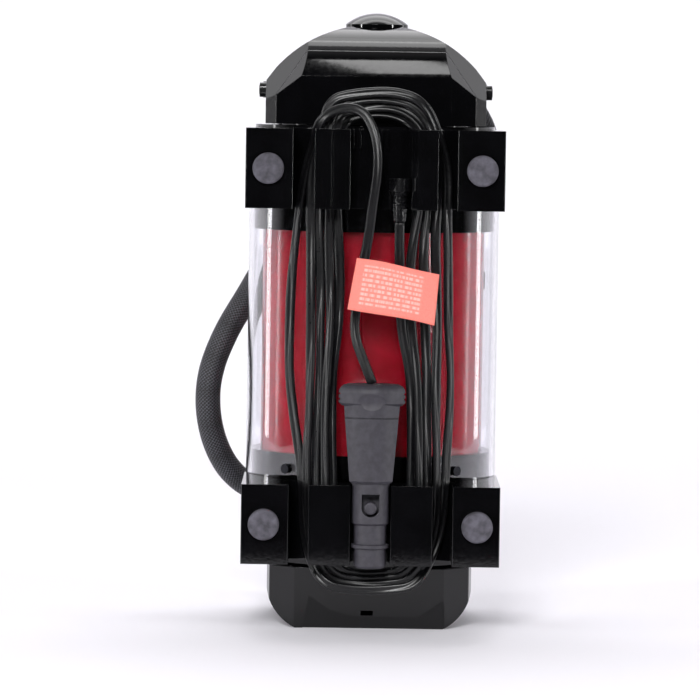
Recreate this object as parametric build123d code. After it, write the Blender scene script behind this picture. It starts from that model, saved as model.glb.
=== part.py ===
"""12 V tyre inflator: a clear-walled barrel with black end caps, standing on its lower cap.

Frame: origin at the centre of the flat base, +Z up the barrel, -Y towards the four rubber feet,
+Y towards the gauge. Millimetres throughout.
"""
from build123d import *
import os
from math import atan, cos, degrees, pi, radians, sin, sqrt, tan

# Driving dimensions
TUBE_R = 72.3               # clear barrel, outside
TUBE_WALL = 2.8
TUBE_Z = (40.0, 283.0)
DRUM_R = 64.0
DRUM_WALL = 2.2
DRUM_Z = (93.0, 232.0)
RED_Z = (99.0, 226.0)       # the length of drum seen between the collars
CAP_WALL = 2.6
LOWER_CAP_TOP = 34.5
UPPER_CAP_Z = 286.5
UPPER_CAP_TOP = 344.0
PANEL_X = 42.5              # half width of a cap's flat back panel
PANEL_Y = 58.0
CHAMFER = (57.0, 44.5)      # outer corner of the cap's chamfer
SPLIT_Y = -44.5             # parting plane between the caps' back and front shells
UPPER_SIDE_X = 63.0
LOWER_SIDE_X = 58.6

SADDLE_HEIGHT = 45.0
SADDLE_Z = {"lower": 62.0, "upper": 262.0}
SADDLE_X = 72.8
BLOCK_X = 46.0              # inner side of a foot block
BLOCK_Y = -92.0             # outer face of the foot blocks and hooks
WEB_R = 75.3
FOOT_X, FOOT_R, FOOT_Y = 60.0, 8.8, -96.0

CORD_WIDTH = 5.5
PLUG_Y = -86.5
PLUG_NOSE_R = 10.5          # standard 21 mm vehicle power plug
PLUG_TOP, PLUG_BOTTOM = 141.6, 37.9
HOSE_R = 7.4

MOTOR_Z, GEAR_Z = 125.0, 155.0
PINION_TEETH, GEAR_TEETH, MODULE = 12, 48, 1.0
CRANK_R = 5.0
BORE_R, BORE_Y = 13.05, 39.0

GAUGE_Z, GAUGE_R = 178.0, 22.0
FASCIA_Y = 90.0
HANDLE_PIVOT = (5.0, 305.5)
HANDLE_BAR_Y = 112.0
KNOB_R, KNOB_TOP = 18.0, 350.5


def box(x, y, z):
    """Block between the given (low, high) pairs."""
    size = [high - low for low, high in (x, y, z)]
    middle = [(high + low) / 2 for low, high in (x, y, z)]
    return Pos(*middle) * Box(*size)


def disc(radius, z, x=0.0, y=0.0):
    """Upright cylinder between two heights."""
    return Pos(x, y, (z[0] + z[1]) / 2) * Cylinder(radius, z[1] - z[0])


def ring(outer, inner, z, x=0.0, y=0.0):
    return disc(outer, z, x, y) - disc(inner, (z[0] - 1, z[1] + 1), x, y)


def disc_y(radius, y, x=0.0, z=0.0):
    """Cylinder along Y."""
    return Pos(x, (y[0] + y[1]) / 2, z) * Rot(90, 0, 0) * Cylinder(radius, y[1] - y[0])


def ring_y(outer, inner, y, x=0.0, z=0.0):
    return disc_y(outer, y, x, z) - disc_y(inner, (y[0] - 1, y[1] + 1), x, z)


def disc_x(radius, x, y=0.0, z=0.0):
    """Cylinder along X."""
    return Pos((x[0] + x[1]) / 2, y, z) * Rot(0, 90, 0) * Cylinder(radius, x[1] - x[0])


def on_barrel(degrees_round, z, radius):
    """Point beside the barrel, its angle counted from +X towards +Y."""
    turn = radians(degrees_round)
    return (radius * cos(turn), radius * sin(turn), z)


def mirrored(shape):
    return shape + mirror(shape, Plane.YZ)


def lathe(points):
    """Solid of revolution about Z from (radius, z) corners."""
    return revolve(make_face(Plane.XZ * Polyline(*points, close=True)), Axis.Z)


def plan_polygon(side_x, inset=0.0):
    """Ten-sided plan of a cap: flat panels, chamfers and straight sides."""
    corner = (PANEL_X - inset * 0.4, PANEL_Y - inset)
    chamfer = (CHAMFER[0] - inset * 0.75, CHAMFER[1] - inset * 0.65)
    side = (side_x - inset, (side_x > CHAMFER[0]) * 36.0 - inset * 0.2)
    quarter = [corner, chamfer, side]
    right = [(x, -y) for x, y in quarter] + quarter[::-1]
    left = [(-x, y) for x, y in right[::-1]]
    return Polyline(*(right + left), close=True)


# Caps

def upper_form(inset=0.0):
    """Upper cap's outer form: plan prism under an arched roof."""
    top = UPPER_CAP_TOP - inset
    base = UPPER_CAP_Z - (inset > 0)
    prism = Pos(0, 0, base) * extrude(make_face(plan_polygon(UPPER_SIDE_X, inset)), 70)
    crease = 314.0 - inset
    reach = PANEL_Y - inset / 2
    arch = ThreePointArc((-reach, crease), (0, top), (reach, crease))
    across = make_face([arch, Polyline((-reach, crease), (-reach, base), (reach, base), (reach, crease))])
    roof_y = extrude(Plane.YZ * across, 90, both=True)
    brow = ThreePointArc((-57.5, 318.5 - inset), (0, top), (57.5, 318.5 - inset))
    edge = Polyline((57.5, 318.5 - inset), (64.0 - inset, 310.0 - inset), (64.0 - inset, base),
                    (-64.0 + inset, base), (-64.0 + inset, 310.0 - inset), (-57.5, 318.5 - inset))
    roof_x = extrude(Plane.XZ * make_face([brow, edge]), 90, both=True)
    return (prism & roof_y & roof_x) - corner_hips(inset)


def corner_hips(inset):
    """The four blocks that slope the roof down over the chamfered corners."""
    hips = None
    for turn_x in (1, -1):
        for turn_y in (-1, 1):
            slope = Plane(origin=(turn_x * 42.5, turn_y * 58.0, 314.0 - 1.35 * inset),
                          z_dir=(turn_x * 1.4296, turn_y * 0.7207, 1.0))
            block = slope * Pos(0, 0, 60) * Box(400, 400, 120)
            block &= Pos(turn_x * 45, turn_y * 45, 325) * Box(90, 90, 150)
            hips = block if hips is None else hips + block
    return hips


def lower_form(inset=0.0):
    """Lower cap's outer form: plan prism rounded in to a flat base."""
    base = inset
    top = LOWER_CAP_TOP + (inset > 0)
    prism = Pos(0, 0, base) * extrude(make_face(plan_polygon(LOWER_SIDE_X, inset)), top - base)
    flat, side = 42.0 - 0.6 * inset, 58.8 - inset
    bend = ThreePointArc((flat, base), (53.4 - 0.8 * inset, 8.4 + inset * 0.6), (side, 22.0))
    turn = ThreePointArc((-side, 22.0), (-53.4 + 0.8 * inset, 8.4 + inset * 0.6), (-flat, base))
    front = make_face([bend, Polyline((side, 22.0), (side, top + 1), (-side, top + 1), (-side, 22.0)), turn,
                       Polyline((-flat, base), (flat, base))])
    form = prism & extrude(Plane.XZ * front, 90, both=True)
    tuck = ThreePointArc((50.0 - inset, base), (54.6 - inset, 1.6 + inset), (58.0 - inset, 6.6))
    foot = make_face([tuck, Polyline((58.0 - inset, 6.6), (58.0 - inset, top + 1), (-70, top + 1), (-70, base),
                                     (50.0 - inset, base))])
    return form & extrude(Plane.YZ * foot, 90, both=True)


def panel_scoop():
    """Shallow tilted scoop under an arched crease, low on the back panel."""
    arch = Polyline((-34, 18.2), (-22.6, 10.4), (-10, 6.8), (28, 6.4), (43, 17.0), (43, -2), (-38, -2), close=True)
    wedge = Polyline((-70, -2), (-56.0, -2), (-58.0, 19.0), (-70, 19.0), close=True)
    return extrude(Plane.XZ * make_face(arch), 90, both=True) & extrude(Plane.YZ * make_face(wedge), 90, both=True)


def cap_shell(form):
    """Hollow cap, open towards the barrel, cut into its back and front shells."""
    shell = form(0.0) - form(CAP_WALL)
    back = shell & box((-90, 90), (-90, SPLIT_Y), (-10, 400))
    front = shell & box((-90, 90), (SPLIT_Y + 0.4, 90), (-10, 400))
    return back, front


def cap_pieces():
    """The four cap shells with their openings."""
    lower_back, lower_front = cap_shell(lower_form)
    upper_back, upper_front = cap_shell(upper_form)
    lower_back -= panel_scoop()
    lower_back -= box((-4.6, 2.4), (-62, -50), (7.6, 10.2))
    upper_front -= disc(KNOB_R + 0.4, (320, 350))
    upper_front -= mirrored(handle_stud())
    upper_front -= box(OUTLET_X, (30, OUTLET_Y), OUTLET_Z)
    return {"lower_cap_back": lower_back, "lower_cap_front": lower_front,
            "upper_cap_back": upper_back, "upper_cap_front": upper_front}


# Barrel

def collars():
    """Stepped black collars that carry the barrel and plug into the caps."""
    lower = lathe([(50, 30), (54, 30), (54, 36.5), (69.3, 36.5), (69.3, RED_Z[0]), (DRUM_R + 0.2, RED_Z[0]),
                   (DRUM_R + 0.2, 40), (50, 40)])
    upper = lathe([(50, 292), (54, 292), (54, 285.9), (69.3, 285.9), (69.3, RED_Z[1]),
                   (DRUM_R + 0.2, RED_Z[1]), (DRUM_R + 0.2, 282), (50, 282)])
    return {"lower_collar": lower, "upper_collar": upper}


def barrel():
    inner = DRUM_R - DRUM_WALL
    pipe_hole = disc(4.0, (220, 240), 10, BORE_Y)
    return {
        "clear_barrel": ring(TUBE_R, TUBE_R - TUBE_WALL, TUBE_Z),
        "red_drum": ring(DRUM_R, inner, DRUM_Z),
        "lower_bulkhead": ring(inner - 0.1, 12, (95, 97.5)),
        "upper_bulkhead": disc(inner - 0.1, (229, 231.5)) - pipe_hole,
    }


# Saddles, hooks and feet

def foot_block(z):
    """One hollow foot block on the +X side."""
    low, high = z - SADDLE_HEIGHT / 2, z + SADDLE_HEIGHT / 2
    block = box((BLOCK_X, SADDLE_X), (BLOCK_Y, -8), (low, high))
    block = fillet(block.edges().filter_by(Axis.Z).group_by(Axis.Y)[0], 0.8)
    block -= box((BLOCK_X + 3, SADDLE_X - 3), (BLOCK_Y + 4, -30), (low + 3, high - 3))
    block -= disc_y(FOOT_R + 0.6, (BLOCK_Y - 1, BLOCK_Y + 1.6), FOOT_X, z)
    return block - disc(TUBE_R + 0.3, (low - 1, high + 1))


def hook(x, stem, z, groove=False):
    """Cord hook: a plate in front of the lead, on a stem that stands on the web."""
    low, high = z - SADDLE_HEIGHT / 2, z + SADDLE_HEIGHT / 2
    plate = box(x, (BLOCK_Y, BLOCK_Y + 3.2), (low, high))
    plate = fillet(plate.edges().filter_by(Axis.Z).group_by(Axis.Y)[0], 0.6)
    shape = plate + box(stem, (BLOCK_Y + 1, -62), (low, high))
    if groove:
        middle = (x[0] + x[1]) / 2
        shape -= box((middle - 0.4, middle + 0.4), (BLOCK_Y - 1, BLOCK_Y + 0.8), (low - 1, high + 1))
    return shape - disc(WEB_R - 0.1, (low - 1, high + 1))


def web(z):
    """Thin band between the foot blocks, lying on the barrel."""
    low, high = z - SADDLE_HEIGHT / 2, z + SADDLE_HEIGHT / 2
    band = ring(WEB_R, TUBE_R + 0.3, (low, high))
    return band & box((-BLOCK_X - 1, BLOCK_X + 1), (-90, 0), (low, high))


def saddles():
    lower_z, upper_z = SADDLE_Z["lower"], SADDLE_Z["upper"]
    lower = web(lower_z) + mirrored(foot_block(lower_z)) + mirrored(hook((11.3, 35.0), (11.3, 15.5), lower_z))
    upper = web(upper_z) + mirrored(foot_block(upper_z))
    upper += hook((-34.2, -13.9), (-18.1, -13.9), upper_z, groove=True) + hook((20.6, 35.4), (20.6, 24.0), upper_z)
    bevel = Polyline((20, -87.6), (20, -93), (23.6, -93), (23.6, -92), (20.6, -88.2), close=True)
    upper -= Pos(0, 0, 230) * extrude(make_face(bevel), 70)
    for z in (upper_z + 2.5, upper_z - 4.0):
        upper -= box((19, 24), (BLOCK_Y - 1, BLOCK_Y + 1.2), (z - 0.5, z + 0.5))
    for tick in (-13.0, -9.5, 3.0, 6.0):
        upper += box((tick, tick + 1.2), (-79, -WEB_R + 2), (upper_z + 12, upper_z + 22.4))
    return {"lower_saddle": lower, "upper_saddle": upper}


def feet():
    """Four rubber feet in ring recesses."""
    foot = disc_y(FOOT_R, (FOOT_Y, BLOCK_Y + 1.6), FOOT_X, 0)
    foot = fillet(foot.edges().group_by(Axis.Y)[0], 1.4)
    return [Pos(0, 0, z) * mirrored(foot) for z in SADDLE_Z.values()]


def barrel_screws():
    """Small domed screws that pin the barrel to the lower collar."""
    turn = degrees(atan(48.0 / sqrt(TUBE_R**2 - 48.0**2)))
    screw = disc_y(2.8, (-TUBE_R - 1.8, -TUBE_R + 0.4), 0, 90.5) - disc(TUBE_R, (80, 100))
    return [Rot(0, 0, side * turn) * screw for side in (-1, 1)]


# Power lead

def winding():
    """Outer form of the lead wound lengthwise round the hooks, lying on the barrel."""
    outer = Polyline((-45.7, 41), (-45.7, 86), (-48.5, 112), (-50.5, 162), (-47.5, 210), (-45.7, 238), (-45.7, 268),
                     (-37, 288), (-24, 301), (-8, 307), (10, 307), (27, 300), (38, 289), (45.7, 274),
                     (45.7, 238), (45.7, 86), (45.7, 41), (36, 32), (20, 25), (0, 22.5), (-20, 25),
                     (-36, 32), close=True)
    inner = Polyline((-15.7, 39.2), (-15.7, 84), (-18, 100), (-19.2, 124), (-19.2, 146), (-17, 165), (-16.5, 215),
                     (-18.3, 239), (-18.3, 285.2), (24.3, 285.2), (24.3, 238.5), (20, 233), (8, 233), (8, 229),
                     (11.5, 205), (12, 170), (19.2, 148), (19.2, 124), (18, 100), (15.7, 84), (15.7, 39.2),
                     close=True)
    form = extrude(Plane.XZ * (make_face(outer) - make_face(inner)), 88.4)
    form -= disc(TUBE_R + 0.5, (36, 290))
    form -= box((-80, 80), (-60.0, 10), (0, 340))
    for z in SADDLE_Z.values():
        form -= disc(WEB_R + 0.2, (z - SADDLE_HEIGHT / 2 - 0.5, z + SADDLE_HEIGHT / 2 + 0.5))
    ends = box((-60, 60), (-100, -76.5), (0, 39.2)) + box((-60, 60), (-100, -82.0), (285.2, 320))
    return form - ends


GLAND_TIP = (14, -82.4, 233.0)
PLUG_LEAD = [(-31, -74, 287), (-19, -79, 298), (-4, -88, 295), (0, -90, 279), (2, -90, 262), (-1, -89, 245),
             (-3, -85, 226), (-7, -82, 203), (-10, -81, 183), (-10.5, -83, 168), (-5, -85.5, 154),
             (0, PLUG_Y, PLUG_TOP)]

HOSE = [(-14, 67, 324), (10, 67, 324), (31, 68, 320), (53, 65, 304), (67.5, 53, 279), (68, 46, 250),
        on_barrel(40, 215, 82), on_barrel(39, 175, 82), on_barrel(40, 138, 82), on_barrel(46, 104, 82.5),
        on_barrel(62, 76, 83.5), on_barrel(84, 63, 84), on_barrel(106, 60, 84.5), (-54, 66, 63), (-80, 48, 75),
        (-94, 34, 101), (-97, 30, 133), (-87, 37, 162), (-71, 52, 188), (-57, 63, 215), (-50, 67, 245)]


def bend_radii(points):
    """Largest tangent arc at each corner: 0.45 of the shorter run over the tangent of half the turn."""
    corners = [Vector(*point) for point in points]
    radii = []
    for before, here, after in zip(corners, corners[1:], corners[2:]):
        turn = (here - before).get_angle(after - here)
        shorter = min((here - before).length, (after - here).length)
        radii.append(0.45 * shorter / tan(radians(turn) / 2))
    return radii


def lead_tube(name, points, radius):
    """Round tube along straight runs and tangent arcs."""
    radii = bend_radii(points)
    path = FilletPolyline(*points, radius=radii)
    start = Plane(origin=path @ 0, z_dir=path % 0)
    tube = sweep(start * Circle(radius), path=path)
    print(name, "length", round(path.length), "tightest", round(min(radii), 1),
          "volume ratio", round(tube.volume / (pi * radius**2 * path.length), 4))
    return tube


def cord_gland():
    """Tapered strain relief hanging from the upper saddle's web, with the lead leaving downwards."""
    sleeve = lathe([(0, 0), (3.6, 0), (4.9, 16), (6.2, 17), (6.2, 24), (0, 24)])
    for z in (4, 7, 10, 13):
        sleeve -= ring(7, 3.4 + z * 0.04, (z, z + 1.2))
    foot = box((-6, 6), (0, 9), (17, 24))
    relief = Pos(*GLAND_TIP) * (sleeve + foot)
    return relief - disc(WEB_R + 0.05, (200, 300))


# Plug

def plug_body():
    """Moulded plug: oval head and grip, round nose with side slots, end cap."""
    def oval(width, depth, z):
        return Pos(0, PLUG_Y, z[0]) * extrude(Ellipse(width / 2, depth / 2), z[1] - z[0])
    head = oval(37.4, 26.4, (129.5, PLUG_TOP))
    head = fillet(head.edges().group_by(Axis.Z)[-1], 5.0)
    head = chamfer(head.edges().group_by(Axis.Z)[0], 1.6)
    grip = oval(32.4, 25.6, (86.0, 132.0))
    sides = Polyline((-16.0, 133), (-11.9, 85), (11.9, 85), (16.0, 133), close=True)
    grip &= extrude(Plane.XZ * make_face(sides), 140)
    grip = chamfer(grip.edges().group_by(Axis.Z)[0], 1.4)
    nose = Pos(0, PLUG_Y, 0) * lathe([(0, 90), (PLUG_NOSE_R, 90), (PLUG_NOSE_R, 63.3), (9.2, 62.2), (9.2, 51.7),
                                      (10.7, 51.2), (10.7, 49.4), (9.1, 48.9), (9.1, 39.4), (7.8, PLUG_BOTTOM),
                                      (0, PLUG_BOTTOM)])
    body = head + grip + nose
    seam = extrude(Ellipse(20, 18) - Ellipse(15.0, 12.2), 0.7)
    body -= Pos(0, PLUG_Y, 122.4) * seam
    body -= Pos(0, PLUG_Y - 22.4, 131.5) * Rot(0, 90, 0) * Cylinder(10.5, 20)
    for z in (124.5, 127.0, 132.5, 135.5):
        body -= Pos(0, PLUG_Y, z) * extrude(Ellipse(30, 20) - Ellipse(17.9 if z > 129.5 else 15.5, 20), 1.1)
    for side in (-1, 1):
        slot = box((-4.9, 4.9), (0, 8.5), (72.2, 80)) + disc_y(4.9, (0, 8.5), 0, 72.2)
        start = PLUG_Y - PLUG_NOSE_R - 0.5 if side < 0 else PLUG_Y + PLUG_NOSE_R - 8.0
        body -= Pos(0, start, 0) * slot
    return body - disc(3.1, (PLUG_BOTTOM - 1, 58), 0, PLUG_Y)


def plug_contacts():
    """Sprung tip pin and the two domed side contacts in their slots."""
    tip = disc(2.9, (PLUG_BOTTOM + 0.3, 53), 0, PLUG_Y)
    dome = disc_y(3.6, (-PLUG_NOSE_R - 0.4, -4.6), 0, 72.2)
    dome = fillet(dome.edges().group_by(Axis.Y)[0], 1.2)
    front = Pos(0, PLUG_Y, 0) * dome
    rear = Pos(0, PLUG_Y, 0) * mirror(dome, Plane.XZ)
    return {"plug_tip_pin": tip, "plug_contact_outer": front, "plug_contact_inner": rear}


def cord_tag():
    """Paper tag folded on the lead."""
    return Pos(12, -92.6, 193.5) * Rot(0, 11, 0) * Box(47.5, 0.8, 28.5)


# Hose, outlet and tyre chuck

OUTLET_X, OUTLET_Y, OUTLET_Z = (-38, -15), 77.0, (314, 334)
OUTLET_PIPE = (-26, 38)
CHUCK = (-50.0, 67.0)
CHUCK_Z = (245.0, 294.0)
CHUCK_TURN = 36.7           # turns the lever to face straight out from the barrel
LEVER_PIN = (12.8, 278.0)


def hose_outlet():
    """Elbow block on the upper cap; the hose leaves it towards +X."""
    block = box(OUTLET_X, (33, OUTLET_Y), OUTLET_Z)
    block = fillet(block.edges().filter_by(Axis.Z).group_by(Axis.Y)[-1], 4)
    block -= disc(3.6, (300, 324), *OUTLET_PIPE)
    return block + disc_x(8.6, (-15, -14), 67, 324)


def hose_ferrules():
    """Crimped sleeves at both ends of the hose, over its outside."""
    out = disc_x(HOSE_R + 1.2, (-14, -2), 67, 324) - disc_x(HOSE_R + 0.1, (-15, 0), 67, 324)
    return [out]


def chuck():
    """Thumb-lever tyre chuck, upright in its clip, lever facing away from the barrel."""
    low, high = CHUCK_Z
    body = lathe([(0, low), (8.4, low), (9.0, low + 2), (9.0, low + 33), (7.4, low + 37), (7.4, high), (3.4, high),
                  (3.4, high - 14), (0, high - 14)])
    pin_y, pin_z = LEVER_PIN
    pin = disc_x(1.5, (-5, 5), pin_y, pin_z)
    ears = box((-5, -3), (5, 15.8), (271, 283)) + box((3, 5), (5, 15.8), (271, 283)) - disc(7, (260, 290))
    lever = box((-2.7, 2.7), (pin_y - 2.4, pin_y + 2.4), (252, pin_z + 2.4)) - disc_x(1.56, (-9, 9), pin_y, pin_z)
    lever += box((-2.7, 2.7), (pin_y - 1.5, pin_y + 1.5), (236, 252.1))
    place = Pos(*CHUCK, 0) * Rot(0, 0, CHUCK_TURN)
    return {"chuck_body": place * (body + ears - pin), "chuck_pin": place * pin, "chuck_lever": place * lever,
            "chuck_seal": place * ring(7.2, 3.6, (high, high + 1.5))}


def c_clip(point, radius, height, opening):
    """C-shaped clip round an upright rod, standing on the barrel."""
    x, y, z = point
    clip = ring(radius + 2.2, radius, (z - height / 2, z + height / 2), x, y)
    away = degrees(atan(y / x)) + (180 if x < 0 else 0)
    mouth = Rot(0, 0, away) * box((0, 30), (-opening / 2, opening / 2), (-height, height))
    return clip - Pos(x, y, z) * mouth - disc(TUBE_R, TUBE_Z)


def clips():
    """Hose clip on the barrel's side, low clip under the hose's front run, chuck clip."""
    side = c_clip(on_barrel(39.5, 195, 82), HOSE_R + 0.3, 10, 11)
    foot = box((-7, 7), (71.5, 74.2), (49, 72)) - disc(TUBE_R, (40, 80))
    upright = Rot(0, 0, 5) * foot
    holder = c_clip((CHUCK[0], CHUCK[1], 262), 9.1, 10, 13)
    return {"hose_clips": [side, upright], "chuck_clip": holder}


# Front: fascia, gauge, switch

def fascia():
    """Console on the barrel's front, hollow, with gauge and switch openings."""
    shell = box((-37, 37), (50, FASCIA_Y), (104, 212))
    shell = fillet(shell.edges().filter_by(Axis.Y), 8)
    shell = fillet(shell.edges().group_by(Axis.Y)[-1], 2.2)
    shell -= box((-34, 34), (40, FASCIA_Y - 3), (107, 209))
    shell -= disc(TUBE_R + 0.1, (90, 230))
    shell -= disc_y(GAUGE_R + 0.1, (80, 95), 0, GAUGE_Z)
    return shell - box((-13.2, 13.2), (80, 95), (118.8, 139.2))


def gauge():
    case = ring_y(GAUGE_R, GAUGE_R - 1.6, (76, FASCIA_Y), 0, GAUGE_Z) + disc_y(GAUGE_R, (74.5, 76), 0, GAUGE_Z)
    case += disc_y(2.2, (76, 86.5), 0, GAUGE_Z)
    dial = ring_y(GAUGE_R - 1.7, 2.3, (84.5, 85.7), 0, GAUGE_Z)
    bezel = ring_y(25, GAUGE_R - 2.5, (FASCIA_Y, FASCIA_Y + 3.2), 0, GAUGE_Z)
    bezel = fillet(bezel.edges().group_by(Axis.Y)[-1].sort_by(SortBy.RADIUS)[-1], 1.2)
    bezel -= disc_y(GAUGE_R - 0.8, (FASCIA_Y - 1, FASCIA_Y + 1.6), 0, GAUGE_Z)
    lens = disc_y(GAUGE_R - 0.9, (FASCIA_Y + 0.1, FASCIA_Y + 1.5), 0, GAUGE_Z)
    hub = ring_y(2.6, 1.05, (87.0, 88.4), 0, GAUGE_Z)
    hand = Pos(0, 87.7, GAUGE_Z) * Rot(0, 45, 0) * box((-15.5, -2.3), (-0.4, 0.4), (-0.7, 0.7))
    spindle = disc_y(1.0, (86.5, 89.2), 0, GAUGE_Z)
    return {"gauge_case": case + spindle, "gauge_dial": dial, "gauge_bezel": bezel, "gauge_lens": lens,
            "gauge_needle": hub + hand}


def rocker():
    """Power rocker and the bezel frame that carries its pivot."""
    frame = box((-15, 15), (FASCIA_Y, FASCIA_Y + 1.6), (117, 141)) + box((-13, 13), (80, FASCIA_Y), (119, 139))
    frame -= box((-11, 11), (81.5, 96), (121, 137))
    pivot = disc_x(1.5, (-11, 11), 87, 129)
    profile = Polyline((88.6, 121.4), (93.0, 121.6), (91.4, 129), (90.2, 136.0), (87.6, 136.2), (84.6, 129),
                       close=True)
    paddle = extrude(Plane.YZ * make_face(profile), 10.6, both=True)
    return {"switch_frame": frame + pivot, "power_rocker": paddle - disc_x(1.56, (-12, 12), 87, 129)}


# Top knob and carrying handle

def top_knob():
    """Domed push button in the upper cap."""
    rise = KNOB_TOP - UPPER_CAP_TOP
    ball = (KNOB_R**2 + rise**2) / (2 * rise)
    return disc(KNOB_R, (333, KNOB_TOP)) & Pos(0, 0, KNOB_TOP - ball) * Sphere(ball)


def handle_stud():
    """One pivot stud, headed inside the upper cap."""
    y, z = HANDLE_PIVOT
    stud = disc_x(2.55, (UPPER_SIDE_X - 6, UPPER_SIDE_X + 4.6), y, z)
    return stud + disc_x(6.0, (UPPER_SIDE_X - 9, UPPER_SIDE_X - 6), y, z)


def handle():
    """Bail handle: two side arms, cross bar, grip, and the pivot studs it turns on."""
    y, z = HANDLE_PIVOT
    arm = box((UPPER_SIDE_X + 0.5, UPPER_SIDE_X + 4.3), (y - 4, HANDLE_BAR_Y + 4), (z - 4.2, z + 4.2))
    arm = fillet(arm.edges().filter_by(Axis.X), 3.2)
    arm -= disc_x(2.6, (50, 80), y, z)
    bar = disc_x(5.0, (-UPPER_SIDE_X - 4.3, UPPER_SIDE_X + 4.3), HANDLE_BAR_Y, z)
    grip = disc_x(9.0, (-50, 50), HANDLE_BAR_Y, z)
    grip = fillet(grip.edges(), 2.5) - disc_x(5.0, (-60, 60), HANDLE_BAR_Y, z)
    return {"carry_handle": mirrored(arm) + bar, "handle_grip": grip, "handle_studs": mirrored(handle_stud())}


# Motor and pump inside the drum

def gear(teeth, width, phase):
    """Straight-sided spur gear along Z, centred on the origin."""
    pitch = teeth * MODULE / 2
    outline = []
    for tooth in range(teeth):
        centre = phase + 360.0 * tooth / teeth
        for radius, half in ((pitch - 1.25, -1.0), (pitch + 0.85, -0.3), (pitch + 0.85, 0.3), (pitch - 1.25, 1.0)):
            angle = radians(centre) + half * MODULE / radius
            outline.append((radius * cos(angle), radius * sin(angle)))
    return extrude(make_face(Polyline(*outline, close=True)), width)


def along_y(shape, y, z):
    """Turn a shape made along Z so that it runs along +Y from the given place."""
    return Pos(0, y, z) * Rot(-90, 0, 0) * shape


def motor():
    can = ring_y(19, 17.5, (-36, 22), 0, MOTOR_Z) + ring_y(17.6, 5, (20, 22), 0, MOTOR_Z)
    bell = ring_y(19, 5, (-40, -36), 0, MOTOR_Z) + ring_y(17.4, 15, (-36.1, -32), 0, MOTOR_Z)
    magnet = ring_y(17.45, 14.8, (-26, 14), 0, MOTOR_Z)
    magnets = [magnet & box(x, (-40, 30), (MOTOR_Z - 14, MOTOR_Z + 14)) for x in ((-20, -6), (6, 20))]
    bushes = [ring_y(5.0, 2.54, y, 0, MOTOR_Z) for y in ((-40, -35), (17, 22))]
    return {"motor_can": can, "motor_end_bell": bell, "motor_magnets": magnets, "motor_bushes": bushes}


def rotor():
    shaft = disc_y(2.5, (-50, 38), 0, MOTOR_Z)
    slots = disc_y(14, (-20, 9), 0, MOTOR_Z) - disc_y(2.5, (-21, 10), 0, MOTOR_Z)
    for index in range(7):
        cut = Rot(0, 360 / 7 * index, 0) * box((-1.3, 1.3), (-25, 12), (6.5, 15))
        slots -= Pos(0, 0, MOTOR_Z) * cut
    commutator = ring_y(5.5, 2.5, (-31, -22), 0, MOTOR_Z)
    fan = ring_y(5, 2.5, (-48, -42.5), 0, MOTOR_Z)
    for index in range(8):
        blade = Rot(0, 45 * index, 0) * box((-0.8, 0.8), (-48, -43), (4.6, 16))
        fan += Pos(0, 0, MOTOR_Z) * blade
    pinion = along_y(gear(PINION_TEETH, 7, -90), 30, MOTOR_Z) - disc_y(2.5, (25, 40), 0, MOTOR_Z)
    return {"rotor_shaft": shaft, "armature": slots, "commutator": commutator, "cooling_fan": fan,
            "pinion": pinion}


def pump():
    """Pump frame with its cylinder, head, crank gear, rod and piston; crank at bottom dead centre."""
    frame = box((-21, 21), (22, 27), (103, 205)) - disc_y(9, (20, 30), 0, MOTOR_Z)
    frame += disc(16.5, (181.5, 216), 0, BORE_Y)
    frame -= disc(BORE_R, (181, 217), 0, BORE_Y)
    frame += ring_y(6.5, 3.05, (18, 27), 0, GEAR_Z) - disc_y(19.1, (-10, 22), 0, MOTOR_Z)
    frame -= disc_y(3.05, (10, 30), 0, GEAR_Z)
    head = disc(18, (216, 226), 0, BORE_Y)
    for z in (218, 220.5, 223):
        head -= ring(20, 15.5, (z, z + 1.2), 0, BORE_Y)
    wheel = along_y(gear(GEAR_TEETH, 5, 3.75), 30.5, GEAR_Z)
    for index in range(5):
        turn = radians(72 * index)
        wheel -= disc_y(4.6, (25, 40), 14 * cos(turn), GEAR_Z + 14 * sin(turn))
    wheel += disc_y(4.0, (35.4, 36.6), 0, GEAR_Z - CRANK_R)
    crank_pin = disc_y(2.5, (36.5, 43), 0, GEAR_Z - CRANK_R)
    gear_shaft = disc_y(3.0, (19, 30.6), 0, GEAR_Z)
    low, high = GEAR_Z - CRANK_R, GEAR_Z - CRANK_R + 36
    rod = disc_y(5, (37, 41), 0, low) + disc_y(4, (37, 41), 0, high) + box((-2.2, 2.2), (37.5, 40.5), (low, high))
    rod -= disc_y(2.56, (30, 50), 0, low) + disc_y(1.6, (30, 50), 0, high)
    piston = disc(13.0, (182, 205.5), 0, BORE_Y) - disc(10.8, (181, 201.8), 0, BORE_Y)
    groove = ring(14, 12.0, (203, 204.4), 0, BORE_Y)
    seal = ring(13.02, 12.0, (203.0, 204.4), 0, BORE_Y)
    return {"pump_frame": frame, "cylinder_head": head, "crank_gear": wheel + crank_pin + gear_shaft,
            "connecting_rod": rod, "piston": piston - groove, "piston_ring": seal}


def inner_pipe():
    """Delivery pipe from the cylinder head to the hose outlet."""
    points = [(10, BORE_Y, 226), (10, BORE_Y, 258), (*OUTLET_PIPE, 286), (*OUTLET_PIPE, 323)]
    return lead_tube("inner_pipe", points, 2.6)


def circuit_board():
    board = box((-26, 26), (-50, -48.4), (150, 212))
    for x, z, size in ((-14, 195, 8), (6, 190, 12), (12, 165, 7)):
        board += box((x, x + size), (-54, -50), (z, z + size))
    return board


def screws():
    """Console screws."""
    return [disc_y(2.4, (FASCIA_Y, FASCIA_Y + 1.0), x, z) for x in (-29, 29) for z in (112, 204)]


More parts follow.
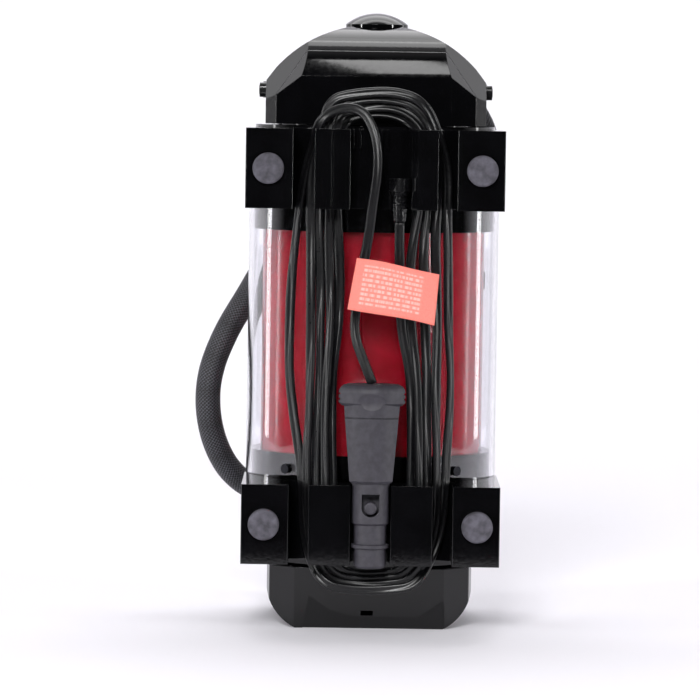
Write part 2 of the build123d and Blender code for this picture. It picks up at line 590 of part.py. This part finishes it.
def build_all():
    parts = {}
    for group in (cap_pieces, collars, barrel, saddles, plug_contacts, chuck, clips, gauge, rocker, handle,
                  motor, rotor, pump):
        parts.update(group())
    parts["rubber_feet"] = feet()
    parts["case_screws"] = barrel_screws() + screws()
    parts["cord_winding"] = winding()
    parts["plug_lead"] = lead_tube("plug_lead", PLUG_LEAD, CORD_WIDTH / 2)
    parts["cord_gland"] = cord_gland()
    parts["plug_body"] = plug_body()
    parts["cord_tag"] = cord_tag()
    parts["hose_outlet"] = hose_outlet()
    parts["hose_ferrule"] = hose_ferrules()
    parts["air_hose"] = lead_tube("air_hose", HOSE, HOSE_R)
    parts["front_fascia"] = fascia()
    parts["top_knob"] = top_knob()
    parts["inner_pipe"] = inner_pipe()
    parts["circuit_board"] = circuit_board()
    return parts


def main():
    os.makedirs("parts", exist_ok=True)
    for node, shape in build_all().items():
        pieces = shape if isinstance(shape, list) else [shape]
        solids = [solid for piece in pieces for solid in piece.solids()]
        export_step(Compound(children=solids) if len(solids) > 1 else solids[0], f"parts/{node}.step")


main()
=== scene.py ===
"""Looks of an upright 12 volt tyre inflator with its lead wound round the hooks on its foot brackets."""

import math
import random

import bpy
from mathutils import Matrix, Vector


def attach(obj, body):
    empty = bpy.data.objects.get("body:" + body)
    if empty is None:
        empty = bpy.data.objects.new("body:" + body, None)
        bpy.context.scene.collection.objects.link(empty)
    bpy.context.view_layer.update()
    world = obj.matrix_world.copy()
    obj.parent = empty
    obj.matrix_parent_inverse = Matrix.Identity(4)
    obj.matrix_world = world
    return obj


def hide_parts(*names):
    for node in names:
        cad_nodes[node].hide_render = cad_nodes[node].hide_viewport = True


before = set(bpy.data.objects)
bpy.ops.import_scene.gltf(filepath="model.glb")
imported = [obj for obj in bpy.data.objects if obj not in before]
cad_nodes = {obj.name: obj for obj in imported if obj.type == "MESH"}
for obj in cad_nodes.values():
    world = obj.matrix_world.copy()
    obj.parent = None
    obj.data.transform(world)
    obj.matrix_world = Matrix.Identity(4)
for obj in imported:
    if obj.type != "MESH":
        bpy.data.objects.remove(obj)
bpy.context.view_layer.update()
MM = 0.001
rng = random.Random(12)


# ---------------------------------------------------------------- camera

camera = bpy.data.objects.new("camera", bpy.data.cameras.new("camera"))
bpy.context.scene.collection.objects.link(camera)
camera.location = (-0.0128, -2.703, 0.311)
camera.data.lens = 240.0
camera.data.sensor_width = 36.0
camera.data.clip_start = 0.05
LOOK_AT = Vector((-0.0128, 0.0, 0.1555))
ROLL = math.radians(0.85)
facing = (LOOK_AT - camera.location).to_track_quat("-Z", "Y").to_matrix()
camera.rotation_euler = (facing @ Matrix.Rotation(ROLL, 3, "Z")).to_euler()
bpy.context.scene.camera = camera


# ---------------------------------------------------------------- mesh and curve helpers

def add_object(name, data):
    """Links a new object into the scene."""
    thing = bpy.data.objects.new(name, data)
    bpy.context.scene.collection.objects.link(thing)
    return thing


def mesh_of(name, points, faces, uvs=None):
    """A smooth mesh object from points and faces, with the UV of each point where uvs are given."""
    mesh = bpy.data.meshes.new(name)
    mesh.from_pydata(points, [], faces)
    mesh.update()
    mesh.polygons.foreach_set("use_smooth", [True] * len(mesh.polygons))
    if uvs is not None:
        layer = mesh.uv_layers.new(name="around_and_along")
        corners = [uvs[index] for loop in mesh.polygons for index in loop.vertices]
        layer.data.foreach_set("uv", [value for corner in corners for value in corner])
    return add_object(name, mesh)


def nurbs_line(points, steps):
    """Points along a smooth spline that has the given control points."""
    curve = bpy.data.curves.new("route", "CURVE")
    curve.dimensions = "3D"
    spline = curve.splines.new("NURBS")
    spline.points.add(len(points) - 1)
    for target, point in zip(spline.points, points):
        target.co = (*point, 1.0)
    spline.order_u = 3
    spline.use_endpoint_u = True
    spline.resolution_u = steps
    holder = bpy.data.objects.new("route", curve)
    mesh = bpy.data.meshes.new_from_object(holder)
    line = [vertex.co.copy() for vertex in mesh.vertices]
    bpy.data.objects.remove(holder)
    bpy.data.curves.remove(curve)
    bpy.data.meshes.remove(mesh)
    return line


def skin(name, rings):
    """Joins rings of points, all with the same count, into a tube with closed ends."""
    count = len(rings[0])
    points = [point for ring in rings for point in ring]
    faces = []
    for row in range(len(rings) - 1):
        for col in range(count):
            after = (col + 1) % count
            faces.append((row * count + col, row * count + after, (row + 1) * count + after,
                          (row + 1) * count + col))
    faces.append(tuple(reversed(range(count))))
    faces.append(tuple((len(rings) - 1) * count + col for col in range(count)))
    return mesh_of(name, points, faces)


# ---------------------------------------------------------------- power lead

LEAD_THICK = 2.8 * MM
LEAD_WIDE = 5.6 * MM
LEAD_EXIT = (0.014, -0.0824, 0.233)
WEB_R = 0.0753
STRAND_GAP = 1.8 * MM

# Each lane is where one strand runs between the brackets: its x in mm at the heights in LANE_Z.
LANE_Z = (279, 262, 239, 222, 198, 172, 146, 122, 102, 84, 62, 45)
LEFT_LANES = ((-20.0, -21.5, -21.0, -20.0, -19.0, -19.5, -22.5, -22.5, -22.0, -21.0, -20.5, -19.5),
              (-23.0, -25.5, -25.5, -25.5, -24.5, -24.0, -25.5, -26.5, -26.0, -25.5, -25.5, -24.0),
              (-27.0, -30.5, -31.5, -31.0, -30.0, -29.5, -29.5, -30.5, -31.5, -31.0, -30.0, -28.0),
              (-30.5, -35.5, -36.5, -36.0, -35.5, -35.0, -35.0, -35.5, -36.5, -36.0, -35.0, -32.0),
              (-34.0, -39.5, -42.5, -44.5, -46.5, -47.5, -47.0, -44.5, -41.0, -39.0, -38.5, -35.5))
RIGHT_LANES = ((14.0, 14.0, 14.0, 14.5, 15.0, 16.0, 21.5, 22.0, 22.5, 22.5, 22.0, 20.5),
               (27.0, 27.0, 24.5, 22.0, 20.0, 21.5, 25.0, 26.5, 27.0, 27.5, 27.5, 25.0),
               (30.5, 31.5, 29.5, 28.0, 28.0, 29.5, 31.0, 31.0, 31.5, 32.5, 32.5, 29.5),
               (33.5, 36.5, 35.0, 34.5, 35.5, 36.5, 36.0, 36.0, 37.0, 37.5, 37.5, 33.5),
               (36.5, 41.5, 41.0, 41.5, 42.0, 43.0, 44.5, 44.0, 43.0, 42.0, 41.0, 36.5))
LANE_LIFT = (0.4, 2.6, 0.6, 3.0, 1.2)


def over_barrel(x, lift):
    """Y of a strand that lies lift above the bracket webs at x."""
    r = WEB_R + STRAND_GAP + lift
    return -math.sqrt(r * r - x * x)


def run_points(lane, turn, up):
    """A run between the brackets, low to high or high to low."""
    points = []
    for x, z in zip(lane, LANE_Z):
        wander = rng.uniform(-0.5, 0.5) * MM
        lift = (LANE_LIFT[turn] + rng.uniform(-0.3, 0.3)) * MM
        points.append((x * MM + wander * 0.6, over_barrel(x * MM, lift), z * MM))
    return list(reversed(points)) if up else points


def bottom_arc(turn):
    """Under the lower hooks, from the right lane to the left one; later turns lie lower and in front."""
    y = -0.0650 - 0.0029 * turn
    z = 0.0355 - 0.0024 * turn
    reach = 0.0150 + 0.0030 * turn
    return [(reach, y - 0.001, z + 0.0010), (reach * 0.35, y, z - 0.0016),
            (-reach * 0.35, y, z - 0.0020), (-reach, y - 0.001, z + 0.0012)]


def top_arc(turn):
    """Over the upper hooks, from the left lane to the right one; later turns lie higher and in front."""
    y = -0.0655 - 0.0030 * turn
    z = 0.2920 + 0.0042 * turn
    slump = 0.0012 * (turn % 2)
    return [(-0.0185 - 0.0030 * turn, y, z - 0.0040), (-0.0075 - 0.0012 * turn, y, z + 0.0012 - slump),
            (0.0080 + 0.0010 * turn, y, z + 0.0014), (0.0195 + 0.0028 * turn, y - 0.001, z - 0.0034 - slump)]


FIRST_RUN = [LEAD_EXIT, (0.0140, -0.0822, 0.2230), (0.0145, -0.0805, 0.2060), (0.0150, -0.0785, 0.1860),
             (0.0165, -0.0770, 0.1680), (0.0215, -0.0755, 0.1480), (0.0225, -0.0750, 0.1230),
             (0.0225, -0.0745, 0.1020), (0.0225, -0.0745, 0.0830), (0.0220, -0.0740, 0.0620),
             (0.0205, -0.0730, 0.0450)]
PLUG_LEAD = [(-0.0320, -0.0790, 0.2890), (-0.0210, -0.0815, 0.2965), (-0.0070, -0.0870, 0.2955),
             (0.0005, -0.0930, 0.2800), (0.0015, -0.0930, 0.2620), (-0.0010, -0.0900, 0.2450),
             (-0.0030, -0.0860, 0.2260), (-0.0070, -0.0825, 0.2030), (-0.0100, -0.0815, 0.1830),
             (-0.0105, -0.0830, 0.1680), (-0.0050, -0.0855, 0.1540), (0.0, -0.0865, 0.1416)]

lead_route = list(FIRST_RUN)
for turn in range(5):
    if turn > 0:
        lead_route += top_arc(turn - 1) + run_points(RIGHT_LANES[turn], turn, up=False)
    lead_route += bottom_arc(turn) + run_points(LEFT_LANES[turn], turn, up=True)
lead_route += PLUG_LEAD
lead_line = nurbs_line(lead_route, 10)


def twin_lead(name, line):
    """Two moulded strands side by side along a line, its flat side facing away from the barrel."""
    half = LEAD_THICK / 2
    apart = (LEAD_WIDE - LEAD_THICK) / 2
    section = []
    for side in (1, -1):
        for step in range(11):
            angle = math.radians(-125 + 25 * step)
            section.append((side * (apart + half * math.cos(angle)), side * half * math.sin(angle)))
    rings = []
    along = 0.0
    for index, here in enumerate(line):
        before = line[max(index - 1, 0)]
        after = line[min(index + 1, len(line) - 1)]
        tangent = (after - before).normalized()
        along += (here - before).length
        past_hooks = max(0.0, min(1.0, (abs(here.z - 0.162) - 0.118) / 0.015))
        outward = Vector((here.x, here.y, 0)).normalized().lerp(Vector((0, -1, 0)), past_hooks)
        outward = (outward - outward.dot(tangent) * tangent).normalized()
        twist = math.radians(16) * math.sin(along * 31 + 0.7) + math.radians(10) * math.sin(along * 83)
        outward = Matrix.Rotation(twist, 3, tangent) @ outward
        across = tangent.cross(outward)
        rings.append([here + across * u + outward * v for u, v in section])
    return skin(name, rings)


power_lead = twin_lead("power_lead", lead_line)


# ---------------------------------------------------------------- air hose

HOSE_R = 7.4 * MM
HOSE_EXIT = (-0.014, 0.067, 0.324)


def on_barrel(degrees, z, r):
    """A point r out from the barrel's axis, in metres."""
    return (r * math.cos(math.radians(degrees)), r * math.sin(math.radians(degrees)), z)


HOSE = [HOSE_EXIT, (0.010, 0.067, 0.324), (0.031, 0.068, 0.320), (0.053, 0.065, 0.304),
        (0.0675, 0.053, 0.279), (0.068, 0.046, 0.250), on_barrel(40, 0.215, 0.082),
        on_barrel(39, 0.175, 0.082), on_barrel(40, 0.138, 0.082), on_barrel(46, 0.104, 0.0825),
        on_barrel(62, 0.076, 0.0835), on_barrel(84, 0.063, 0.084), on_barrel(106, 0.060, 0.0845),
        (-0.054, 0.066, 0.063), (-0.080, 0.048, 0.075), (-0.094, 0.034, 0.101), (-0.097, 0.030, 0.133),
        (-0.087, 0.037, 0.162), (-0.071, 0.052, 0.188), (-0.057, 0.063, 0.215), (-0.050, 0.067, 0.245)]
hose_line = nurbs_line(HOSE, 24)


def evenly_spaced(line, step):
    """The same line with its points a fixed step apart."""
    spots = [line[0]]
    left = step
    for a, b in zip(line, line[1:]):
        span = (b - a).length
        at = left
        while at < span:
            spots.append(a.lerp(b, at / span))
            at += step
        left = at - span
    spots.append(line[-1])
    return spots


def braided_hose(name, line, radius):
    """A hose in a woven cover: two sets of yarns wind opposite ways and pass over and under each other."""
    around = 96
    yarns = 20
    lay = 39 * MM
    pitch = 0.5 * MM
    relief = 0.42 * MM
    spots = evenly_spaced(line, pitch)
    tangents = [(spots[min(i + 1, len(spots) - 1)] - spots[max(i - 1, 0)]).normalized()
                for i in range(len(spots))]
    side = tangents[0].orthogonal().normalized()
    rings = []
    crowns = []
    for index, (here, tangent) in enumerate(zip(spots, tangents)):
        side = (side - side.dot(tangent) * tangent).normalized()
        other = tangent.cross(side)
        along = index * pitch / lay * 2 * math.pi
        ring = []
        for step in range(around):
            angle = 2 * math.pi * step / around
            one_way = math.cos(yarns * (angle + along))
            other_way = math.cos(yarns * (angle - along))
            crown = max(one_way, other_way)
            crowns.append(crown)
            r = radius - relief + relief * crown
            ring.append(here + (side * math.cos(angle) + other * math.sin(angle)) * r)
        rings.append(ring)
    hose = skin(name, rings)
    # The crown height is also kept on the mesh, and the braid's material paints its painted highlight and
    # painted shade from it.
    hose.data.attributes.new("crown", "FLOAT", "POINT").data.foreach_set("value", crowns)
    return hose


air_hose_braided = braided_hose("air_hose_braided", hose_line, HOSE_R)


# ---------------------------------------------------------------- paper tag

def curled_tag(name):
    """A folded paper flag round the plug's lead: its front leaf bows out towards its free edge."""
    low_left = Vector((-0.0146, -0.0930, 0.1835))
    low_right = Vector((0.0342, -0.0930, 0.1753))
    top_left = Vector((-0.0097, -0.0930, 0.2124))
    top_right = Vector((0.0366, -0.0930, 0.2039))
    cols = 36
    rows = 20
    points = []
    for row in range(rows + 1):
        v = row / rows
        for col in range(cols + 1):
            u = col / cols
            flat = low_left.lerp(low_right, u).lerp(top_left.lerp(top_right, u), v)
            bow = 0.0016 * math.sin(math.pi * u) + 0.0012 * u * u * math.cos(2.2 * v)
            sway = 0.0006 * math.sin(2 * math.pi * u) * (v - 0.4)
            fold = 0.0022 * (1 - u) ** 4
            rise = sway + 0.0007 * math.sin(math.pi * u)
            points.append(flat + Vector((0, -bow + fold, rise)))
    faces = []
    for row in range(rows):
        for col in range(cols):
            a = row * (cols + 1) + col
            faces.append((a, a + 1, a + cols + 2, a + cols + 1))
    uvs = [((i % (cols + 1)) / cols, (i // (cols + 1)) / rows) for i in range(len(points))]
    tag = mesh_of(name, points, faces, uvs=uvs)
    thick = tag.modifiers.new("paper", "SOLIDIFY")
    thick.thickness = 0.35 * MM
    thick.offset = 0.0
    return tag


warning_tag = curled_tag("lead_tag")


# ---------------------------------------------------------------- materials

def linear(colour):
    """The shader's linear colour for an sRGB hex value."""
    channels = [int(colour[i:i + 2], 16) / 255 for i in (1, 3, 5)]
    return (*(c / 12.92 if c <= 0.04045 else ((c + 0.055) / 1.055) ** 2.4 for c in channels), 1.0)


def add_node(tree, kind, sockets=None, **settings):
    """Adds a shader node, sets its properties, and gives its inputs values or links."""
    node = tree.nodes.new("ShaderNode" + kind)
    for key, value in settings.items():
        setattr(node, key, value)
    for key, value in (sockets or {}).items():
        if isinstance(value, bpy.types.NodeSocket):
            tree.links.new(value, node.inputs[key])
        else:
            node.inputs[key].default_value = value
    return node


def new_finish(name, colour, roughness, **sockets):
    """A material with one principled shader; returns it with its tree, shader and position output."""
    finish = bpy.data.materials.new(name)
    finish.use_nodes = True
    tree = finish.node_tree
    tree.nodes.clear()
    values = {"Base Color": linear(colour), "Roughness": roughness}
    values.update({key.replace("_", " ").title().replace("Ior", "IOR"): v for key, v in sockets.items()})
    shader = add_node(tree, "BsdfPrincipled", values)
    add_node(tree, "OutputMaterial", {"Surface": shader.outputs[0]})
    place = add_node(tree, "NewGeometry").outputs["Position"]
    return finish, tree, shader, place


def speckle(tree, place, size_mm, detail=3.0, roughness=0.55, stretch=(1, 1, 1)):
    """Noise whose lumps are about size_mm across, from 0 to 1."""
    scaled = add_node(tree, "Mapping", {"Vector": place, "Scale": stretch}).outputs[0]
    return add_node(tree, "TexNoise", {"Vector": scaled, "Scale": 1 / (size_mm * MM), "Detail": detail,
                                       "Roughness": roughness}).outputs["Fac"]


def spread(tree, value, low, high, start=0.3, end=0.7):
    """Maps a pattern onto the range low to high."""
    return add_node(tree, "MapRange", {"Value": value, "From Min": start, "From Max": end, "To Min": low,
                                       "To Max": high}).outputs[0]


def two_tone(tree, value, dark, light):
    """Colour between two sRGB values by a pattern from 0 to 1."""
    mixed = add_node(tree, "Mix", data_type="RGBA")
    tree.links.new(value, mixed.inputs[0])
    mixed.inputs[6].default_value = linear(dark)
    mixed.inputs[7].default_value = linear(light)
    return mixed.outputs[2]


def relief_of(tree, shader, height, depth_mm, strength=1.0, normal=None):
    """Bump of a real depth on the shader's normal."""
    sockets = {"Height": height, "Distance": depth_mm * MM, "Strength": strength}
    if normal is not None:
        sockets["Normal"] = normal
    bump = add_node(tree, "Bump", sockets)
    tree.links.new(bump.outputs[0], shader.inputs["Normal"])


def moulded(name, dark, light, roughness, grain_mm, depth_mm, edge_mm=0.0, rough_spread=0.05, **sockets):
    """Moulded plastic: fine grain, faint flow of tone, softened edges."""
    finish, tree, shader, place = new_finish(name, dark, roughness, **sockets)
    flow = speckle(tree, place, grain_mm * 9, 2.0)
    tree.links.new(two_tone(tree, spread(tree, flow, 0, 1), dark, light), shader.inputs["Base Color"])
    grain = speckle(tree, place, grain_mm, 3.0)
    tree.links.new(spread(tree, grain, roughness - rough_spread, roughness + rough_spread),
                   shader.inputs["Roughness"])
    rounded = None
    if edge_mm:
        rounded = add_node(tree, "Bevel", {"Radius": edge_mm * MM}, samples=4).outputs[0]
    relief_of(tree, shader, grain, depth_mm, 1.0, rounded)
    return finish


def metal(name, dark, light, roughness, grain_mm, stretch=(1, 1, 1), depth_mm=0.004):
    """Bare metal with machining or rolling marks."""
    finish, tree, shader, place = new_finish(name, light, roughness, metallic=1.0)
    marks = speckle(tree, place, grain_mm, 4.0, 0.6, stretch)
    tree.links.new(two_tone(tree, spread(tree, marks, 0, 1), dark, light), shader.inputs["Base Color"])
    tree.links.new(spread(tree, marks, roughness - 0.08, roughness + 0.08), shader.inputs["Roughness"])
    relief_of(tree, shader, marks, depth_mm)
    return finish


finishes = {
    # Polished ABS: deep black with a mirror gloss, faint orange peel, thin bright lines on its edges.
    "gloss_black": moulded("polished_abs_black", "#060607", "#0a0a0c", 0.06, 2.2, 0.010, 0.35, 0.02,
                           ior=1.42),
    # Moulded nylon with a fine spark grain: dark with a soft, broken sheen.
    "satin_black": moulded("spark_grain_nylon_black", "#08080a", "#0e0e10", 0.26, 0.45, 0.012, 0.3),
    # Natural rubber compound: matt charcoal with a chalky, mottled bloom.
    "foot_rubber": moulded("moulded_rubber_grey", "#3a383f", "#5b5963", 0.78, 0.5, 0.07, 0.5, 0.06),
    # Plug housing in glass filled PBT: matt dark grey, sand blast texture.
    "plug_plastic": moulded("sand_blast_pbt_grey", "#2d2b32", "#3a3840", 0.55, 0.35, 0.035, 0.5, 0.06),
    # Nitrile seals: matt black.
    "seal_rubber": moulded("nitrile_rubber_black", "#0c0c0c", "#161616", 0.6, 0.4, 0.02),
    # Acetal gears and bell: milky white, slightly waxy.
    "nylon": moulded("machined_acetal_white", "#cfccc2", "#e6e3da", 0.35, 0.8, 0.01),
    # Glass epoxy board under green solder mask.
    "board_green": moulded("solder_mask_green", "#0c3a1c", "#14552a", 0.3, 0.9, 0.02),
    # Sintered ferrite: dull charcoal.
    "magnet": moulded("sintered_ferrite", "#2a2a2d", "#38383b", 0.6, 0.5, 0.02),
    # Baked enamel dial: even warm white.
    "dial_white": moulded("enamelled_dial_white", "#eeeae0", "#f6f3ea", 0.3, 1.5, 0.002),
    "needle_red": moulded("enamelled_needle_red", "#c01818", "#d42222", 0.3, 0.8, 0.002),
    "steel": metal("turned_steel", "#9a9a9c", "#c4c4c8", 0.28, 0.5, (1, 1, 6)),
    "dark_steel": metal("blackened_steel", "#26262a", "#3d3d42", 0.38, 0.6),
    "brass": metal("drawn_brass", "#b08a3c", "#d1ab58", 0.25, 0.8, (4, 4, 1)),
    "cast_alloy": metal("die_cast_aluminium", "#8f9093", "#b5b6ba", 0.45, 0.9, (1, 1, 1), 0.03),
    "chrome_trim": metal("bright_chrome", "#d8dade", "#eef0f4", 0.1, 3.0, (1, 1, 1), 0.001),
    "copper_wire": metal("copper_segments", "#a85a30", "#cc7a48", 0.3, 0.5),
}


def painted_drum():
    """Gloss paint over steel: a deep even red with slight orange peel under a clear coat."""
    finish, tree, shader, place = new_finish("gloss_red_paint", "#c01027", 0.25, coat_weight=0.35,
                                             coat_roughness=0.05)
    flow = speckle(tree, place, 9.0, 2.0)
    tree.links.new(two_tone(tree, spread(tree, flow, 0, 1), "#b60c22", "#cb132c"),
                   shader.inputs["Base Color"])
    relief_of(tree, shader, speckle(tree, place, 3.0), 0.012)
    return finish


def clear_acrylic():
    """Extruded acrylic: water clear, polished, with faint draw lines along the tube."""
    finish, tree, shader, place = new_finish("extruded_acrylic_clear", "#fbfbff", 0.0, ior=1.49,
                                             transmission_weight=1.0)
    lines = speckle(tree, place, 4.0, 2.0, 0.5, (1, 1, 0.05))
    tree.links.new(spread(tree, lines, 0.0, 0.03), shader.inputs["Roughness"])
    relief_of(tree, shader, lines, 0.01, 0.5)
    return finish


def extruded_pvc():
    """Extruded PVC lead: near black, semi-gloss along the strands, with faint drag marks."""
    finish, tree, shader, place = new_finish("extruded_pvc_black", "#0b0b0d", 0.3, ior=1.48)
    drag = speckle(tree, place, 1.2, 3.0)
    tree.links.new(two_tone(tree, spread(tree, drag, 0, 1), "#0a0a0c", "#131315"),
                   shader.inputs["Base Color"])
    tree.links.new(spread(tree, drag, 0.27, 0.36), shader.inputs["Roughness"])
    relief_of(tree, shader, drag, 0.004)
    return finish


def woven_polyester():
    """Polyester braid: black yarn with a dry, broken glint on its crowns, painted into its colour as a
    painted highlight (crowns light grey) with painted shade in the hollows (near black), under a soft sheen.
    """
    finish, tree, shader, place = new_finish("woven_polyester_black", "#121214", 0.62,
                                             sheen_weight=0.25, sheen_roughness=0.4)
    yarn = speckle(tree, place, 0.5, 3.0)
    crown = add_node(tree, "Attribute", attribute_name="crown").outputs["Fac"]
    # Painted highlight and painted shade: the crown height lightens the yarn crowns to grey and darkens the
    # hollows between them.
    tree.links.new(two_tone(tree, spread(tree, crown, 0, 1, 0.35, 1.0), "#060607", "#56565e"),
                   shader.inputs["Base Color"])
    relief_of(tree, shader, yarn, 0.06)
    return finish


def coated_paper():
    """Coated paper in salmon pink: fine fibre mottle, with rows of pale dashes as a printed block."""
    finish, tree, shader, place = new_finish("coated_paper_salmon", "#ff8578", 0.6)
    fibre = speckle(tree, place, 0.6, 4.0)
    paper = two_tone(tree, spread(tree, fibre, 0, 1), "#fb7f72", "#ff8c80")
    uv = add_node(tree, "UVMap", uv_map="around_and_along").outputs[0]
    split = add_node(tree, "SeparateXYZ", {"Vector": uv})
    across, up = split.outputs[0], split.outputs[1]
    rows = add_node(tree, "Math", {0: up, 1: 11.0}, operation="MULTIPLY").outputs[0]
    row_wave = add_node(tree, "Math", {0: rows}, operation="FRACT").outputs[0]
    in_row = add_node(tree, "Math", {0: row_wave, 1: 0.42}, operation="GREATER_THAN").outputs[0]
    row_number = add_node(tree, "Math", {0: rows}, operation="FLOOR").outputs[0]
    along = add_node(tree, "Math", {0: across, 1: 26.0}, operation="MULTIPLY").outputs[0]
    dash_place = add_node(tree, "CombineXYZ", {"X": along, "Y": row_number}).outputs[0]
    dashes = add_node(tree, "TexNoise", {"Vector": dash_place, "Scale": 1.0, "Detail": 1.0}).outputs["Fac"]
    dash = spread(tree, dashes, 0.1, 0.8, 0.42, 0.55)
    left = spread(tree, across, 0, 1, 0.10, 0.12)
    right = spread(tree, across, 1, 0, 0.80, 0.83)
    low = spread(tree, up, 0, 1, 0.13, 0.15)
    high = spread(tree, up, 1, 0, 0.88, 0.90)
    block = dash
    for edge in (left, right, low, high, in_row):
        block = add_node(tree, "Math", {0: block, 1: edge}, operation="MULTIPLY").outputs[0]
    printed = add_node(tree, "Mix", data_type="RGBA")
    tree.links.new(block, printed.inputs[0])
    tree.links.new(paper, printed.inputs[6])
    printed.inputs[7].default_value = linear("#ffc4bb")
    tree.links.new(printed.outputs[2], shader.inputs["Base Color"])
    relief_of(tree, shader, fibre, 0.02)
    return finish


finishes["red_paint"] = painted_drum()
# The same ABS as a shaded copy, painted a slightly deeper black as painted shade, with wider rounded edges,
# for the caps and their knob.
cap_gloss_shaded_copy = moulded("polished_abs_cap", "#050506", "#08080a", 0.07, 2.6, 0.008, 0.5, 0.02, ior=1.42)
finishes["clear_wall"] = clear_acrylic()
finishes["lead_pvc"] = extruded_pvc()
finishes["hose_braid"] = woven_polyester()
finishes["tag_paper"] = coated_paper()

for node in cad_nodes.values():
    for held in node.material_slots:
        held.material = finishes[held.material.name.split(".")[0]]
# The caps and knob take the shaded copy of the gloss black: its deeper black is painted shade.
for name in ("lower_cap_back", "lower_cap_front", "upper_cap_back", "upper_cap_front", "top_knob"):
    cad_nodes[name].material_slots[0].material = cap_gloss_shaded_copy
power_lead.data.materials.append(finishes["lead_pvc"])
air_hose_braided.data.materials.append(finishes["hose_braid"])
warning_tag.data.materials.append(finishes["tag_paper"])


# ---------------------------------------------------------------- how the pieces belong to the frame

for piece, slot_name, replaced in ((power_lead, "lead_pvc", ("cord_winding", "plug_lead")),
                                   (air_hose_braided, "hose_braid", ("air_hose",)),
                                   (warning_tag, "tag_paper", ("cord_tag",))):
    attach(piece, "body")
    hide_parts(*replaced)


# ---------------------------------------------------------------- floor, light and world

FRONT_EDGE = -0.50
BEND_START = 0.9
BEND_R = 0.9
WALL_TOP = 3.2
PAPER_HALF_WIDTH = 1.35


def paper_sweep():
    """A seamless pale paper sweep: flat under the object, then curving up into a wall."""
    profile = [(FRONT_EDGE, 0.0), (BEND_START, 0.0)]
    profile += [(BEND_START + BEND_R * math.sin(a), BEND_R - BEND_R * math.cos(a))
                for a in (math.radians(6 * step) for step in range(1, 16))]
    profile.append((BEND_START + BEND_R, WALL_TOP))
    points = [(x, y, z) for y, z in profile for x in (-PAPER_HALF_WIDTH, PAPER_HALF_WIDTH)]
    faces = [(2 * i, 2 * i + 1, 2 * i + 3, 2 * i + 2) for i in range(len(profile) - 1)]
    sheet = mesh_of("paper_sweep", points, faces)
    finish, tree, shader, place = new_finish("matt_white_paper", "#f4f2f8", 0.8)
    tooth = speckle(tree, place, 1.0)
    relief_of(tree, shader, tooth, 0.02, 0.4)
    sheet.data.materials.append(finish)


paper_sweep()


def softbox(name, place, target, width, height, power):
    """A white area light aimed at a point; sizes in metres, power in watts."""
    light = bpy.data.lights.new(name, "AREA")
    light.shape = "RECTANGLE"
    light.size = width
    light.size_y = height
    light.energy = power
    lamp = add_object(name, light)
    lamp.location = place
    lamp.rotation_euler = (Vector(target) - Vector(place)).to_track_quat("-Z", "Y").to_euler()


# The boxes stand behind and brighten the barrel's edges; the strips stand in front and draw a line of light
# down each side; the washes lift the paper to white.
softbox("left_box", (-1.75, 0.72, 0.5), (0, 0, 0.16), 0.12, 1.5, 4)
softbox("right_box", (1.75, 0.75, 0.5), (0, 0, 0.16), 0.12, 1.5, 4)
softbox("front_fill", (-0.5, -3.4, 1.9), (0, 0, 0.16), 0.9, 0.9, 95)
softbox("roof_card", (0.028, -0.25, 1.75), (0, 0, 0.3), 0.1, 0.42, 1.0)
softbox("left_edge", (-1.7, -1.15, 0.9), (0, 0, 0.25), 0.05, 0.5, 1.2)
softbox("back_wash", (0, 1.4, 1.9), (0, 0.3, 0), 2.4, 1.2, 20)
softbox("wall_wash", (0, 0.9, 2.4), (0, 1.8, 0.5), 1.8, 0.5, 8)
softbox("left_strip", (-1.6, -0.95, 0.5), (0, 0, 0.16), 0.10, 1.0, 14)
softbox("right_strip", (1.6, -0.95, 0.5), (0, 0, 0.16), 0.10, 1.0, 14)

world = bpy.data.worlds.new("studio")
bpy.context.scene.world = world
world.use_nodes = True
sky = world.node_tree
sky.nodes.clear()
heading = add_node(sky, "TexCoord").outputs["Generated"]
depth = add_node(sky, "SeparateXYZ", {"Vector": heading}).outputs[1]
behind = add_node(sky, "MapRange", {"Value": depth, "From Min": 0.05, "From Max": 0.5, "To Min": 0.012,
                                    "To Max": 0.95}).outputs[0]
seen = add_node(sky, "LightPath").outputs["Is Camera Ray"]
strength = add_node(sky, "Mix", {0: seen, 2: behind, 3: 1.0}, data_type="FLOAT").outputs[0]
glow = add_node(sky, "Background", {"Color": linear("#fdfcff"), "Strength": strength})
add_node(sky, "OutputWorld", {"Surface": glow.outputs[0]})

bpy.context.scene.view_settings.view_transform = "Standard"
bpy.context.scene.view_settings.exposure = 0.0
